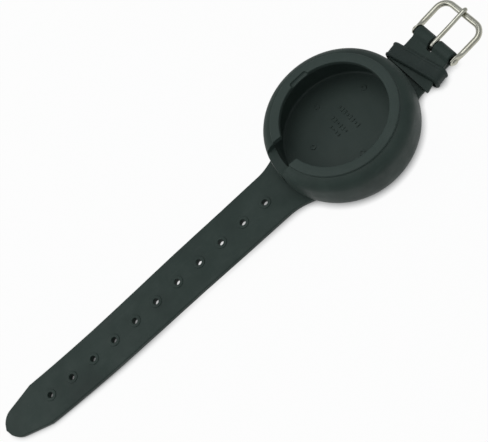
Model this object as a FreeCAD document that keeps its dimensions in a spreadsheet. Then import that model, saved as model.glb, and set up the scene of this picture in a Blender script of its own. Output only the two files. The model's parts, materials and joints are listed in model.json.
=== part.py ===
import FreeCAD, Part
import os
from math import atan2, pi
import Sketcher
from FreeCAD import Placement, Rotation, Vector

# A moulded rubber wrist strap with a round cup that holds a wrist instrument.
# Frame: origin on the cup's axis at its underside, +Z up out of the cup's mouth,
# +X along the strap towards the buckle, -X towards the free end. Millimetres.

SIZES = [
    # cup
    ("cup_radius", 36.8, "widest radius of the cup's outer wall"),
    ("foot_inset", 2.0, "flat underside's edge in from the widest radius"),
    ("belly_height", 7.5, "height of the widest part"),
    ("shoulder_inset", 0.7, "where the shoulder starts, in from the widest radius"),
    ("shoulder_drop", 6.5, "where the shoulder starts, below the lip ring's top"),
    ("ledge_inset", 5.5, "inner end of the rounded shoulder, in from the widest radius"),
    ("ring_inset", 6.2, "outside of the raised lip ring, in from the widest radius"),
    ("ring_step", 1.3, "how far the lip ring stands above the shoulder"),
    ("cup_height", 23.0, "top of the lip ring"),
    ("lip_width", 4.6, "lip ring from its outside to the mouth"),
    ("lip_thickness", 2.6, "thickness of the lip that holds the instrument"),
    ("wall_thickness", 5.6, "wall under the lip at its widest"),
    ("floor_thickness", 3.0, "rubber under the instrument"),
    ("shoulder_round", 6.6, "radius of the shoulder's arc"),
    # cuts in the lip
    ("notch_width", 14.6, "sighting notch over the long strap"),
    ("notch_depth", 5.4, "depth of the notch below the lip ring"),
    ("notch_turn", 6.0, "degrees that the notch sits off the strap's line"),
    ("groove_width", 1.5, "groove down the outer wall beside the notch"),
    ("groove_depth", 1.4, "groove's depth into the wall"),
    ("groove_foot", 7.0, "height where the groove ends"),
    ("relief_width", 10.0, "finger relief in the lip's inner edge"),
    ("over_cut", 0.2, "how far a cut runs past the face that it opens"),
    ("relief_depth", 1.6, "how far the relief cuts into the lip"),
    # long strap
    ("strap_lift", 2.0, "underside of both straps at the cup"),
    ("strap_thickness", 3.0, "long strap"),
    ("tail_root_width", 26.4, "long strap's width at its first hole"),
    ("tail_end_width", 24.4, "long strap's width at its last hole"),
    ("tail_flex_out", 6.65, "first bending line of the long strap, out from the cup"),
    ("flex_gap", 0.5, "gap at each bending line"),
    ("flare_half", 17.4, "half width where the long strap joins the wall"),
    ("seat_depth", 2.8, "how deep the straps start inside the cup's wall"),
    ("hole_pitch", 14.1, "distance from hole to hole"),
    ("hole_radius", 1.5, "buckle hole"),
    ("boss_radius", 3.1, "raised ring round a hole"),
    ("boss_height", 0.35, "how far the ring stands up"),
    ("taper_after", 7.0, "where the end begins to narrow, past the last hole"),
    ("taper_length", 22.0, "tapered end"),
    ("tip_half", 6.0, "half width of the tip where its arc starts"),
    ("tip_arc", 6.6, "radius of the tip's arc"),
    ("lift_2", 3.0, "underside at the second bending line"),
    ("lift_3", 3.4, "underside at the third bending line"),
    ("lift_4", 2.4, "underside at the fourth bending line"),
    ("lift_5", 0.8, "underside at the fifth bending line"),
    ("lift_6", 0.2, "underside at the sixth bending line"),
    ("lift_tip", 0.1, "underside at the tip"),
    # short strap, folded round the buckle's bar
    ("short_flex_out", 0.8, "bending line of the short strap, out from the cup"),
    ("short_root_half", 13.2, "half width of the short strap at the cup"),
    ("short_seat_half", 16.0, "half width where the short strap joins the wall"),
    ("short_half", 11.6, "half width of the short strap at the buckle"),
    ("short_taper", 11.2, "where the short strap stops narrowing, out from the cup"),
    ("short_thickness", 2.2, "each layer of the short strap"),
    ("bar_out", 20.2, "buckle bar's centre, out from the cup"),
    ("bar_radius", 1.1, "buckle bar"),
    ("fold_clearance", 0.1, "rubber fold round the bar, radial"),
    ("layer_gap", 0.3, "gap between the two layers under the keeper"),
    ("lay_rise", 1.1, "where the upper layer starts to rise to the bar, before the bar"),
    ("lay_run", 2.6, "length of the upper layer's rise"),
    ("flap_out", 1.8, "free end of the upper layer, out from the cup"),
    ("edge_ease", 0.05, "how much the short strap's side starts inside its block"),
    ("slot_width", 3.5, "slot for the prong"),
    ("slot_length", 4.4, "slot's inner end, before the bar"),
    # keeper loop
    ("keeper_out", 8.1, "middle of the keeper, out from the cup"),
    ("keeper_turn", 9.0, "degrees that the keeper sits askew"),
    ("keeper_width", 8.0, "keeper along the strap"),
    ("keeper_slack", 1.1, "inside of the keeper wider than the short strap's root, each side"),
    ("keeper_wall", 1.0, "keeper's band"),
    ("keeper_bead", 0.4, "how far the beaded edges stand out"),
    ("bead_width", 1.7, "width of a beaded edge"),
    ("keeper_clearance", 0.3, "above and below the layers"),
    ("keeper_round", 1.0, "inside corner of the keeper"),
    # buckle
    ("frame_wire", 2.9, "buckle frame wire diameter"),
    ("frame_gap", 0.3, "buckle leg clear of the short strap's edge"),
    ("frame_reach", 18.8, "far bar's centre line from the pivot"),
    ("buckle_tilt", 8.0, "degrees that the buckle stands up from the strap at rest"),
    ("frame_corner", 5.6, "corner radius of the frame's centre line"),
    ("leg_end", 1.6, "where the round leg ends in its flat eye"),
    ("eye_radius", 2.6, "flat eye round the bar"),
    ("eye_thickness", 2.2, "flat eye across"),
    ("eye_inset", 0.2, "flat eye's inner face, out from the wire's side"),
    ("head_radius", 1.6, "riveted head of the bar"),
    ("head_height", 0.5, "riveted head's height"),
    ("pin_fit", 0.05, "running fit of the prong's eye on the bar, radial"),
    ("prong_wire", 2.2, "prong wire diameter"),
    ("prong_rest_gap", 0.15, "prong above the far bar at rest"),
    ("prong_rise", 8.0, "where the prong starts its rise to the far bar"),
    ("tip_angle", 55.0, "degrees that the prong's tip curls down"),
]

FOLLOWING = [
    # sizes and places that follow from the ones above
    ("foot_radius", "cup_radius - foot_inset", "radius of the flat underside"),
    ("shoulder_radius", "cup_radius - shoulder_inset", "outer wall where the shoulder starts"),
    ("shoulder_height", "cup_height - shoulder_drop", "height where the shoulder starts"),
    ("ledge_radius", "cup_radius - ledge_inset", "inner end of the rounded shoulder"),
    ("ring_radius", "cup_radius - ring_inset", "outside of the raised lip ring"),
    ("opening_radius", "ring_radius - lip_width", "mouth of the cup"),
    ("cavity_radius", "cup_radius - wall_thickness", "inside of the wall under the lip"),
    ("wall_seat", "cup_radius - seat_depth", "radius inside the wall where the straps start"),
    ("tail_flex", "cup_radius + tail_flex_out", "first bending line of the long strap"),
    ("hole_first", "tail_flex + hole_pitch / 2", "first hole from the cup's axis"),
    ("hole_last", "hole_first + 10 * hole_pitch", "last hole from the cup's axis"),
    ("taper_start", "hole_last + taper_after", "where the end begins to narrow"),
    ("tail_length", "taper_start + taper_length", "tip of the long strap"),
    ("short_flex", "cup_radius + short_flex_out", "bending line of the short strap"),
    ("short_straight", "cup_radius + short_taper", "where the short strap stops narrowing"),
    ("flap_end", "cup_radius + flap_out", "free end of the upper layer"),
    ("bar_x", "cup_radius + bar_out", "buckle bar from the cup's axis"),
    ("lay_start", "bar_x - lay_rise", "where the upper layer starts to rise to the bar"),
    ("lay_end", "lay_start - lay_run", "where the upper layer comes down on the lower one"),
    ("slot_end", "bar_x - slot_length", "inner end of the slot"),
    ("keeper_x", "cup_radius + keeper_out", "middle of the keeper"),
    ("keeper_inner_half", "short_root_half + keeper_slack", "half width inside the keeper"),
    ("frame_half", "short_half + frame_gap + frame_wire / 2", "leg's centre line"),
    ("leg_inside", "frame_half - frame_wire / 2 + eye_inset", "flat eye's inner face"),
]

DOC = FreeCAD.newDocument("wrist_strap")
TAIL_COUNT = 6
HOLE_COUNT = 11
HOLES_PER_LENGTH = 2
FULL_CUT = 80.0
OVERSHOOT = 3.0


def make_sheet():
    """Put every driving and following size into the spreadsheet and return it."""
    sheet = DOC.addObject("Spreadsheet::Sheet", "Sizes")
    for row, (alias, value, note) in enumerate(SIZES + FOLLOWING, start=1):
        sheet.set(f"A{row}", alias)
        sheet.set(f"B{row}", f"={value}")
        sheet.set(f"C{row}", note)
        sheet.setAlias(f"B{row}", alias)
    DOC.recompute()
    return sheet


def sized(text):
    """Turn a formula of plain aliases into one that names the sheet."""
    words = sorted((alias for alias, _, _ in SIZES + FOLLOWING), key=len, reverse=True)
    out, index = "", 0
    while index < len(text):
        alias = next((w for w in words if text.startswith(w, index)
                      and not text[index + len(w):index + len(w) + 1].isidentifier()
                      and not text[index + len(w):index + len(w) + 1].isdigit()), None)
        begins = index == 0 or not (text[index - 1].isidentifier() or text[index - 1].isdigit())
        if alias and begins:
            out += "Sizes." + alias
            index += len(alias)
        else:
            out += text[index]
            index += 1
    return out


def value_of(text):
    """The number that a formula gives with the sheet's present sizes."""
    result = SHEET.evalExpression(sized(text))
    return float(getattr(result, "Value", result))


def bind(thing, path, text):
    """Bind one property of an object to a formula of sizes."""
    thing.setExpression(path, sized(text))


def new_body(name):
    """A PartDesign body whose label is also its file's name."""
    body = DOC.addObject("PartDesign::Body", name)
    body.Label = name
    return body


def origin_plane(body, role):
    """One of the body's own origin planes."""
    return next(f for f in body.Origin.OriginFeatures if f.Role == role)


def new_sketch(body, name, role="XY_Plane", height=None, turn=None):
    """A sketch on an origin plane, raised by a formula and turned by a formula in degrees."""
    sketch = body.newObject("Sketcher::SketchObject", name)
    sketch.AttachmentSupport = [(origin_plane(body, role), "")]
    sketch.MapMode = "FlatFace"
    if turn is not None:
        sketch.AttachmentOffset = Placement(Vector(), Rotation(Vector(0, 0, 1), value_of(turn)))
        bind(sketch, "AttachmentOffset.Rotation.Angle", turn)
    if height is not None:
        bind(sketch, "AttachmentOffset.Base.z", height)
    return sketch


def pin_point(sketch, geometry, end, across, up):
    """Hold a point of a sketch at two formulas; a plain 0 puts it on the axis."""
    for axis, kind, text in ((-2, "DistanceX", across), (-1, "DistanceY", up)):
        if text == "0":
            sketch.addConstraint(Sketcher.Constraint("PointOnObject", geometry, end, axis))
            continue
        index = sketch.addConstraint(
            Sketcher.Constraint(kind, -1, 1, geometry, end, value_of(text)))
        bind(sketch, f"Constraints[{index}]", text)


def draw_arc(sketch, start, finish, radius, side):
    """Add the short arc from start to finish, its centre left or right of the way there.

    Returns the arc's index and the ends that lie at start and at finish.
    """
    chord = finish.sub(start)
    half = chord.Length / 2
    across = Vector(-chord.y, chord.x, 0).normalize() * (1 if side == "left" else -1)
    centre = (start + finish) * 0.5 + across * max(radius ** 2 - half ** 2, 0) ** 0.5
    angles = [atan2(spot.y - centre.y, spot.x - centre.x) for spot in (start, finish)]
    if side == "right":
        angles.reverse()
    if angles[1] < angles[0]:
        angles[1] += 2 * pi
    arc = Part.ArcOfCircle(Part.Circle(centre, Vector(0, 0, 1), radius), *angles)
    index = sketch.addGeometry(arc)
    return (index, 1, 2) if side == "left" else (index, 2, 1)


def outline(sketch, corners):
    """Close a loop through corners (across, up) or (across, up, radius, side).

    A radius makes the edge to the next corner an arc, with its centre on the given side,
    "left" or "right", of the way there.
    """
    spots = [Vector(value_of(c[0]), value_of(c[1]), 0) for c in corners]
    count = len(corners)
    edges = []
    for i, corner in enumerate(corners):
        start, finish = spots[i], spots[(i + 1) % count]
        if len(corner) == 2:
            edges.append((sketch.addGeometry(Part.LineSegment(start, finish)), 1, 2))
            continue
        edges.append(draw_arc(sketch, start, finish, value_of(corner[2]), corner[3]))
    for i, (edge, _, last) in enumerate(edges):
        following, first, _ = edges[(i + 1) % count]
        sketch.addConstraint(Sketcher.Constraint("Coincident", edge, last, following, first))
    for i, corner in enumerate(corners):
        pin_point(sketch, edges[i][0], edges[i][1], corner[0], corner[1])
        if len(corner) == 4:
            index = sketch.addConstraint(
                Sketcher.Constraint("Radius", edges[i][0], value_of(corner[2])))
            bind(sketch, f"Constraints[{index}]", corner[2])
    return sketch


def ring(sketch, across, up, radius):
    """A circle held by three formulas."""
    circle = Part.Circle(Vector(value_of(across), value_of(up), 0), Vector(0, 0, 1), value_of(radius))
    index = sketch.addGeometry(circle)
    pin_point(sketch, index, 3, across, up)
    held = sketch.addConstraint(Sketcher.Constraint("Radius", index, value_of(radius)))
    bind(sketch, f"Constraints[{held}]", radius)
    return sketch


def block(sketch, left, low, right, high):
    """A rectangle between four formulas."""
    return outline(sketch, [(left, low), (right, low), (right, high), (left, high)])


def pad(body, sketch, length, both_ways=False):
    """Raise a sketch by a formula."""
    feature = body.newObject("PartDesign::Pad", sketch.Name + "_pad")
    feature.Profile = sketch
    feature.Midplane = both_ways
    bind(feature, "Length", length)
    body.Tip = feature
    return feature


def pocket(body, sketch, depth=None):
    """Cut a sketch down by a formula, or through everything when no depth is given."""
    DOC.recompute()
    before = body.Shape.Volume
    feature = body.newObject("PartDesign::Pocket", sketch.Name + "_cut")
    feature.Profile = sketch
    if depth is None:
        feature.Midplane = True
        feature.Length = FULL_CUT
    else:
        bind(feature, "Length", depth)
    body.Tip = feature
    DOC.recompute()
    if body.Shape.Volume > before - 1e-3:
        raise RuntimeError(f"{sketch.Name} cuts nothing")
    return feature


def turned(body, sketch, axis="V_Axis"):
    """Revolve a sketch right round one of its axes."""
    feature = body.newObject("PartDesign::Revolution", sketch.Name + "_turned")
    feature.Profile = sketch
    feature.ReferenceAxis = (sketch, [axis])
    feature.Angle = 360.0
    body.Tip = feature
    return feature


def swept(body, profile, path):
    """Carry a round profile along a path sketch."""
    feature = body.newObject("PartDesign::AdditivePipe", path.Name + "_wire")
    feature.Profile = profile
    feature.Spine = (path, [f"Edge{i + 1}" for i in range(len(path.Geometry))])
    body.Tip = feature
    return feature


def tangent_radius(run, rise):
    """Radius formula of an arc that leaves along the run and has moved by rise at its end."""
    return f"(({run})^2 + ({rise})^2) / (2 * ({rise}))"


def tail_half(position):
    """Half width of the long strap at a distance from the cup's axis."""
    span = f"({HOLE_COUNT - 1} * hole_pitch)"
    return f"(tail_root_width - (tail_root_width - tail_end_width) * ({position} - hole_first) / {span}) / 2"


def bend_at(number):
    """Distance of the long strap's bending line from the cup's axis, counted from 1."""
    return f"(tail_flex + {(number - 1) * HOLES_PER_LENGTH} * hole_pitch)"


def strap_root(body, name, sign, flex, half, seat_half):
    """The flared stub that carries a strap on the cup's wall."""
    face = f"({flex} - flex_gap / 2)"
    seat = f"sqrt(wall_seat^2 - {seat_half}^2)"
    flare = tangent_radius(f"{face} - {seat}", f"{seat_half} - {half}")
    flip = "" if sign > 0 else "-"
    side = "right" if sign > 0 else "left"
    sketch = outline(new_sketch(body, name, height="strap_lift"), [
        (f"{flip}{face}", f"-({half})"),
        (f"{flip}{face}", f"{half}", flare, side),
        (f"{flip}{seat}", seat_half, "wall_seat", side),
        (f"{flip}{seat}", f"-{seat_half}", flare, side)])
    return sketch


def make_cup():
    """The cup with its lip, its cuts and both strap roots."""
    body = new_body("cup")
    top = "cup_height"
    ledge = "cup_height - ring_step"
    under = "cup_height - lip_thickness"
    belly = tangent_radius("belly_height", "cup_radius - foot_radius")
    wall = outline(new_sketch(body, "cup_section", "XZ_Plane"), [
        ("0", "0"),
        ("foot_radius", "0", belly, "left"),
        ("cup_radius", "belly_height"),
        ("shoulder_radius", "shoulder_height", "shoulder_round", "left"),
        ("ledge_radius", ledge),
        ("ring_radius", ledge),
        ("ring_radius", top),
        ("opening_radius", top),
        ("opening_radius", under),
        ("cavity_radius", under),
        ("cavity_radius", "floor_thickness"),
        ("0", "floor_thickness")])
    turned(body, wall)
    DOC.recompute()
    long_root = strap_root(body, "long_root", -1, "tail_flex", tail_half("tail_flex"), "flare_half")
    pad(body, long_root, "strap_thickness")
    short_root = strap_root(body, "short_root", 1, "short_flex", "short_root_half", "short_seat_half")
    pad(body, short_root, "short_thickness")
    notch = new_sketch(body, "notch", height=top, turn="-notch_turn")
    block(notch, f"-(cup_radius + {OVERSHOOT})", "-notch_width / 2",
          f"-(opening_radius - {OVERSHOOT})", "notch_width / 2")
    pocket(body, notch, "notch_depth")
    deck = "(cup_height - notch_depth + over_cut)"
    groove = new_sketch(body, "groove", height=deck, turn="-notch_turn")
    block(groove, f"-(cup_radius + {OVERSHOOT})", "-notch_width / 2",
          "-(cup_radius - groove_depth)", "-notch_width / 2 + groove_width")
    pocket(body, groove, f"{deck} - groove_foot")
    relief = new_sketch(body, "relief", height=top)
    block(relief, "-relief_width / 2", f"opening_radius - {OVERSHOOT}",
          "relief_width / 2", "opening_radius + relief_depth")
    pocket(body, relief, "lip_thickness + over_cut")
    return body


def hole_spots(number):
    """Distances of the holes on one length of the long strap, from its own bending line."""
    first = (number - 1) * HOLES_PER_LENGTH
    last = HOLE_COUNT if number == TAIL_COUNT else first + HOLES_PER_LENGTH
    return [f"-(hole_first + {i} * hole_pitch - {bend_at(number)})" for i in range(first, last)]


def make_tail(number):
    """One length of the long strap between two bending lines, or its tapered end."""
    body = new_body(f"tail_{number}")
    inner = bend_at(number)
    near = "-(flex_gap / 2)"
    plan = new_sketch(body, f"tail_{number}_plan")
    if number < TAIL_COUNT:
        outer = bend_at(number + 1)
        far = f"-({outer} - {inner} - flex_gap / 2)"
        outline(plan, [(near, f"-({tail_half(inner)})"), (near, tail_half(inner)),
                       (far, tail_half(outer)), (far, f"-({tail_half(outer)})")])
    else:
        outer = "tail_length"
        waist = f"-(taper_start - {inner})"
        drop = "(tip_arc - sqrt(tip_arc^2 - tip_half^2))"
        end = f"-(tail_length - {inner} - {drop})"
        outline(plan, [(near, f"-({tail_half(inner)})"), (near, tail_half(inner)),
                       (waist, tail_half("taper_start")),
                       (end, "tip_half", "tip_arc", "left"), (end, "-tip_half"),
                       (waist, f"-({tail_half('taper_start')})")])
    pad(body, plan, "strap_thickness")
    DOC.recompute()
    bosses = new_sketch(body, f"tail_{number}_bosses")
    holes = new_sketch(body, f"tail_{number}_holes")
    for spot in hole_spots(number):
        ring(bosses, spot, "0", "boss_radius")
        ring(holes, spot, "0", "hole_radius")
    pad(body, bosses, "strap_thickness + boss_height")
    pocket(body, holes)
    start = "strap_lift" if number == 1 else f"lift_{number}"
    finish = "lift_tip" if number == TAIL_COUNT else f"lift_{number + 1}"
    body.Placement = Placement(Vector(), Rotation(Vector(0, 1, 0), 1.0))
    bind(body, "Placement.Base.x", f"-{inner}")
    bind(body, "Placement.Base.z", start)
    bind(body, "Placement.Rotation.Angle", f"atan(({finish} - {start}) / ({outer} - {inner}))")
    return body


BAR_Z = "(strap_lift + short_thickness + bar_radius + fold_clearance)"


def make_short_strap():
    """The short strap, folded back over the buckle's bar, with the prong's slot."""
    body = new_body("short_strap")
    face = "(short_flex + flex_gap / 2)"
    low = "strap_lift"
    first = "(strap_lift + short_thickness)"
    inside = "(bar_radius + fold_clearance)"
    outside = "(bar_radius + fold_clearance + short_thickness)"
    rest = "(strap_lift + short_thickness + layer_gap)"
    side = new_sketch(body, "short_side", "XZ_Plane")
    outline(side, [
        (face, low),
        ("bar_x", low, outside, "left"),
        (f"bar_x + {outside}", BAR_Z, outside, "left"),
        ("bar_x", f"{BAR_Z} + {outside}"),
        ("lay_start", f"{BAR_Z} + {outside}"),
        ("lay_end", f"{rest} + short_thickness"),
        ("flap_end", f"{rest} + short_thickness"),
        ("flap_end", rest),
        ("lay_end", rest),
        ("lay_start", f"{BAR_Z} + {inside}"),
        ("bar_x", f"{BAR_Z} + {inside}", inside, "right"),
        (f"bar_x + {inside}", BAR_Z, inside, "right"),
        ("bar_x", first),
        (face, first)])
    pad(body, side, "2 * short_root_half", both_ways=True)
    DOC.recompute()
    for way, name in ((1, "left_trim"), (-1, "right_trim")):
        flip = "" if way > 0 else "-"
        trim = new_sketch(body, name)
        outline(trim, [
            ("short_flex", f"{flip}(short_root_half + {OVERSHOOT})"),
            ("short_flex", f"{flip}(short_root_half + edge_ease)"),
            (face, f"{flip}(short_root_half - edge_ease)"),
            ("short_straight", f"{flip}short_half"),
            (f"bar_x + {outside} + {OVERSHOOT}", f"{flip}short_half"),
            (f"bar_x + {outside} + {OVERSHOOT}", f"{flip}(short_root_half + {OVERSHOOT})")])
        pocket(body, trim)
    slot = new_sketch(body, "slot")
    block(slot, "slot_end", "-slot_width / 2", f"bar_x + {outside} + {OVERSHOOT}", "slot_width / 2")
    pocket(body, slot)
    return body


def rounded_block(sketch, half_across, half_up, corner):
    """A rectangle about the sketch's origin with rounded corners."""
    across, up = f"({half_across})", f"({half_up})"
    outline(sketch, [
        (f"-{across} + {corner}", f"-{up}"),
        (f"{across} - {corner}", f"-{up}", corner, "left"),
        (across, f"-{up} + {corner}"),
        (across, f"{up} - {corner}", corner, "left"),
        (f"{across} - {corner}", up),
        (f"-{across} + {corner}", up, corner, "left"),
        (f"-{across}", f"{up} - {corner}"),
        (f"-{across}", f"-{up} + {corner}", corner, "left")])
    return sketch


def make_keeper():
    """The loop that holds the folded layers together, with a bead along each edge."""
    body = new_body("keeper")
    inner_up = "(short_thickness + layer_gap / 2 + keeper_clearance)"
    outer_across = "(keeper_inner_half + keeper_wall)"
    outer_up = f"({inner_up} + keeper_wall)"
    band = new_sketch(body, "keeper_band", "YZ_Plane")
    rounded_block(band, outer_across, outer_up, "(keeper_round + keeper_wall)")
    pad(body, band, "keeper_width", both_ways=True)
    DOC.recompute()
    for way, name in ((1, "buckle_bead"), (-1, "cup_bead")):
        start = "(keeper_width / 2 - bead_width)" if way > 0 else "-(keeper_width / 2)"
        bead = new_sketch(body, name, "YZ_Plane", height=start)
        rounded_block(bead, f"{outer_across} + keeper_bead", f"{outer_up} + keeper_bead",
                      "(keeper_round + keeper_wall + keeper_bead)")
        pad(body, bead, "bead_width")
    hollow = new_sketch(body, "keeper_hollow", "YZ_Plane")
    rounded_block(hollow, "keeper_inner_half", inner_up, "keeper_round")
    pocket(body, hollow)
    body.Placement = Placement(Vector(), Rotation(Vector(0, 0, 1), 1.0))
    bind(body, "Placement.Base.x", "keeper_x")
    bind(body, "Placement.Base.z", "strap_lift + short_thickness + layer_gap / 2")
    bind(body, "Placement.Rotation.Angle", "keeper_turn")
    return body


def hang_on_bar(body):
    """Place a buckle piece at the bar, tipped up from the strap."""
    body.Placement = Placement(Vector(), Rotation(Vector(0, -1, 0), 1.0))
    bind(body, "Placement.Base.x", "bar_x")
    bind(body, "Placement.Base.z", BAR_Z)
    bind(body, "Placement.Rotation.Angle", "buckle_tilt")


def open_path(sketch, corners):
    """Join corners like outline does, without closing the loop."""
    spots = [Vector(value_of(c[0]), value_of(c[1]), 0) for c in corners]
    previous = None
    for i, corner in enumerate(corners[:-1]):
        start, finish = spots[i], spots[i + 1]
        if len(corner) == 2:
            edge = (sketch.addGeometry(Part.LineSegment(start, finish)), 1, 2)
        else:
            edge = draw_arc(sketch, start, finish, value_of(corner[2]), corner[3])
            held = sketch.addConstraint(Sketcher.Constraint("Radius", edge[0], value_of(corner[2])))
            bind(sketch, f"Constraints[{held}]", corner[2])
        if previous is not None:
            sketch.addConstraint(
                Sketcher.Constraint("Coincident", previous[0], previous[2], edge[0], edge[1]))
        pin_point(sketch, edge[0], edge[1], corner[0], corner[1])
        previous = edge
    pin_point(sketch, previous[0], previous[2], corners[-1][0], corners[-1][1])
    return sketch


def make_buckle_frame():
    """The bent wire frame with a flat eye at the end of each leg."""
    body = new_body("buckle_frame")
    path = open_path(new_sketch(body, "frame_path"), [
        ("leg_end", "-frame_half"),
        ("frame_reach - frame_corner", "-frame_half", "frame_corner", "left"),
        ("frame_reach", "-frame_half + frame_corner"),
        ("frame_reach", "frame_half - frame_corner", "frame_corner", "left"),
        ("frame_reach - frame_corner", "frame_half"),
        ("leg_end", "frame_half")])
    section = new_sketch(body, "frame_section", "YZ_Plane", height="leg_end")
    ring(section, "-frame_half", "0", "frame_wire / 2")
    swept(body, section, path)
    DOC.recompute()
    for way, name in ((1, "left_eye"), (-1, "right_eye")):
        start = "-(leg_inside + eye_thickness)" if way > 0 else "leg_inside"
        eye = new_sketch(body, name, "XZ_Plane", height=start)
        ring(eye, "0", "0", "eye_radius")
        pad(body, eye, "eye_thickness")
    bore = new_sketch(body, "eye_bore", "XZ_Plane")
    ring(bore, "0", "0", "bar_radius")
    pocket(body, bore)
    hang_on_bar(body)
    return body


def make_buckle_bar():
    """The bar through the fold, with a riveted head outside each eye."""
    body = new_body("buckle_bar")
    outside = "(leg_inside + eye_thickness)"
    shaft = new_sketch(body, "bar_shaft", "XZ_Plane")
    ring(shaft, "0", "0", "bar_radius")
    pad(body, shaft, f"2 * {outside}", both_ways=True)
    DOC.recompute()
    for way, name in ((1, "left_head"), (-1, "right_head")):
        start = f"-({outside} + head_height)" if way > 0 else outside
        head = new_sketch(body, name, "XZ_Plane", height=start)
        ring(head, "0", "0", "head_radius")
        pad(body, head, "head_height")
    hang_on_bar(body)
    return body


def make_prong():
    """The prong: an eye round the bar and a shank that lies over the far bar."""
    body = new_body("buckle_prong")
    eye_middle = "(bar_radius + pin_fit + prong_wire / 2)"
    over = "(frame_wire / 2 + prong_rest_gap + prong_wire / 2)"
    eye = new_sketch(body, "prong_eye")
    ring(eye, eye_middle, "0", "prong_wire / 2")
    turned(body, eye)
    DOC.recompute()
    path = open_path(new_sketch(body, "prong_path", "XZ_Plane"), [
        ("0", eye_middle),
        ("prong_rise", eye_middle),
        ("frame_reach", over, over, "right"),
        (f"frame_reach + {over} * sin(tip_angle)", f"{over} * cos(tip_angle)")])
    section = new_sketch(body, "prong_section", "YZ_Plane")
    ring(section, "0", eye_middle, "prong_wire / 2")
    swept(body, section, path)
    hang_on_bar(body)
    return body


def check_and_write(bodies):
    """Stop on any failed object or bad solid, then write one file for each sub-part."""
    DOC.recompute()
    for thing in DOC.Objects:
        if "Invalid" in thing.State or "Error" in thing.State:
            raise RuntimeError(f"{thing.Name} failed: {thing.State}")
    os.makedirs("parts", exist_ok=True)
    for body in bodies:
        shape = body.Shape
        if shape.isNull() or not shape.isValid() or len(shape.Solids) != 1:
            raise RuntimeError(f"{body.Label} is not one good solid")
        shape.exportStep(os.path.join("parts", body.Label + ".step"))
        print(body.Label, round(shape.Volume, 1), "mm3")


SHEET = make_sheet()
PARTS = [make_cup()]
PARTS += [make_tail(number) for number in range(1, TAIL_COUNT + 1)]
PARTS += [make_short_strap(), make_keeper(), make_buckle_frame(), make_buckle_bar(), make_prong()]
check_and_write(PARTS)
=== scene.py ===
"""Visual model of a moulded rubber wrist strap with an instrument cup and a wire buckle."""

import json
import logging
import math
from dataclasses import dataclass, field
from enum import Enum
from typing import Callable, Iterable, Sequence, Union

import bmesh
import bpy
from mathutils import Matrix, Vector


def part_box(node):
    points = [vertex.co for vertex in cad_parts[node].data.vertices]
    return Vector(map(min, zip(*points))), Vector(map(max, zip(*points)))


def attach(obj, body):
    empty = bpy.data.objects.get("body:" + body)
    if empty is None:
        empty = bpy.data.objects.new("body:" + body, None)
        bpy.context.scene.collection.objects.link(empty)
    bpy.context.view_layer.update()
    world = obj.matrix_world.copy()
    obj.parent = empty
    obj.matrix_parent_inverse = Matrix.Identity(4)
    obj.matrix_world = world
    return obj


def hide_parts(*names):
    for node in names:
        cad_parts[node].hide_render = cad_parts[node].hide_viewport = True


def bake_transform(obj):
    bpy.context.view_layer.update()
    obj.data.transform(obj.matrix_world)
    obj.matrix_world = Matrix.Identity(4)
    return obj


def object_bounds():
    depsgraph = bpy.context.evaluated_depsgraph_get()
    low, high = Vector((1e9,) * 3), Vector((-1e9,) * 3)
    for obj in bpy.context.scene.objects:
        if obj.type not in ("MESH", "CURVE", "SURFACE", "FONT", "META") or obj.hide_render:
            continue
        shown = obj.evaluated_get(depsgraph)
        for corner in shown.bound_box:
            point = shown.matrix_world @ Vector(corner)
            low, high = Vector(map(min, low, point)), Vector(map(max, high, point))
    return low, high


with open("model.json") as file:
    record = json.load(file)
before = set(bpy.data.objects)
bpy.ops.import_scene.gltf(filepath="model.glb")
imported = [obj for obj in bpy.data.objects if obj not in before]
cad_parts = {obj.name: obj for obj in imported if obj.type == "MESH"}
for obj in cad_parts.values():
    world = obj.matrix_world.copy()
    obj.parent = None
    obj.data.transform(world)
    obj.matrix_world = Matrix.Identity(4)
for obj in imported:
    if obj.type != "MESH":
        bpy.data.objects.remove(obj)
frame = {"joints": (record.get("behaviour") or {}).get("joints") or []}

LOG = logging.getLogger("wrist_strap")
MM = 0.001
CAD_BOX = [list(corner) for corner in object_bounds()]
FULL_TURN = 2 * math.pi
QUARTER_TURN = math.pi / 2
X_WAY, Y_WAY, Z_WAY = Vector((1, 0, 0)), Vector((0, 1, 0)), Vector((0, 0, 1))

Point = tuple[float, float, float]
Spot = tuple[float, float]
Piece = bpy.types.Object
Material = bpy.types.Material
Socket = bpy.types.NodeSocket
Value = Union[float, tuple, Socket]


class Join(Enum):
    """What a boolean modifier does with its tool."""

    CUT = "DIFFERENCE"
    ADD = "UNION"


def set_mode(mode: str) -> None:
    """Enter edit mode, "EDIT", or leave it, "OBJECT"."""
    bpy.ops.object.mode_set(mode=mode)


def deselect_all() -> None:
    """Leave edit mode and deselect every object."""
    if bpy.context.object and bpy.context.object.mode != "OBJECT":
        set_mode("OBJECT")
    bpy.ops.object.select_all(action="DESELECT")


def make_active(obj: Piece) -> None:
    """Make one object the only selected and active one."""
    deselect_all()
    obj.select_set(True)
    bpy.context.view_layer.objects.active = obj


def name_new(name: str) -> Piece:
    """Name the object that an operator has just added, and return it."""
    obj = bpy.context.object
    obj.name = name
    obj.data.name = name
    return obj


def settle(obj: Piece) -> Piece:
    """Put an object's place, turn and scale into its mesh."""
    make_active(obj)
    bpy.ops.object.transform_apply(location=True, rotation=True, scale=True)
    return obj


def apply_modifier(obj: Piece, kind: str, **settings) -> None:
    """Add a modifier of a kind, give it its settings and apply it."""
    make_active(obj)
    modifier = obj.modifiers.new(kind.title(), kind)
    for key, value in settings.items():
        setattr(modifier, key, value)
    bpy.ops.object.modifier_apply(modifier=modifier.name)


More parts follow.
